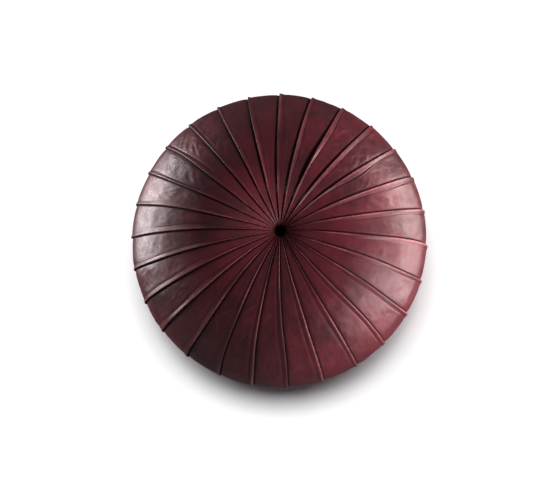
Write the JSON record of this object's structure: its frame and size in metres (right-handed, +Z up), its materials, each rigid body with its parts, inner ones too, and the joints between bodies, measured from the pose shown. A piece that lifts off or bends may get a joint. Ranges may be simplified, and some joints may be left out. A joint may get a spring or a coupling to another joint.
{
  "type": "leather pouf",
  "caption": "Round leather floor pouf of radial gores with lapped folds, gathered at a dimpled hole on top, with a zipped recessed base.",
  "frame": {"origin": "middle of the base, on the floor", "axes": "+Z up along the pouf's axis, +Y towards the first seam, which is the top of the pouf when it is stood on its rim"},
  "size_m": [0.6395, 0.6398, 0.29],
  "materials": {
    "cover_leather": "semi-gloss waxed oxblood leather with a mottled patina",
    "base_leather": "matte oxblood leather",
    "backing_felt": "matte black felt",
    "waxed_cord": "waxed twisted cord",
    "washer_wood": "plain turned beech",
    "liner_cotton": "unbleached cotton",
    "wadding": "soft wadding",
    "core_foam": "open-cell foam",
    "zip_tape": "woven tape",
    "zip_metal": "aged brass"
  },
  "bodies": {
    "pouf": {"gore_01": "cover_leather", "gore_02": "cover_leather", "gore_03": "cover_leather", "gore_04": "cover_leather", "gore_05": "cover_leather", "gore_06": "cover_leather", "gore_07": "cover_leather", "gore_08": "cover_leather", "gore_09": "cover_leather", "gore_10": "cover_leather", "gore_11": "cover_leather", "gore_12": "cover_leather", "gore_13": "cover_leather", "gore_14": "cover_leather", "gore_15": "cover_leather", "gore_16": "cover_leather", "gore_17": "cover_leather", "gore_18": "cover_leather", "gore_19": "cover_leather", "gore_20": "cover_leather", "gore_21": "cover_leather", "gore_22": "cover_leather", "gore_23": "cover_leather", "gore_24": "cover_leather", "gore_25": "cover_leather", "gore_26": "cover_leather", "gore_27": "cover_leather", "base_panel_front": "base_leather", "base_panel_rear": "base_leather", "base_welt": "base_leather", "hole_backing": "backing_felt", "gather_cord": "waxed_cord", "tie_cord": "waxed_cord", "base_tie_washer": "washer_wood", "inner_liner": "liner_cotton", "wadding_wrap": "wadding", "foam_core": "core_foam", "zip_tape_front": "zip_tape", "zip_tape_rear": "zip_tape", "zip_teeth_front": "zip_metal", "zip_teeth_rear": "zip_metal", "zip_top_stops": "zip_metal", "zip_bottom_stop": "zip_metal"},
    "slider": {"zip_slider": "zip_metal"},
    "pull": {"zip_pull": "zip_metal"}
  },
  "joints": [
    {"name": "zip_slide", "type": "slide", "parent": "pouf", "child": "slider", "axis": [1, 0, 0], "range_m": [0, 0.2832]},
    {"name": "pull_swing", "type": "hinge", "parent": "slider", "child": "pull", "pos_m": [-0.1416, -0.06, 0.003], "axis": [0, 1, 0], "range_deg": [0, 172]}
  ]
}
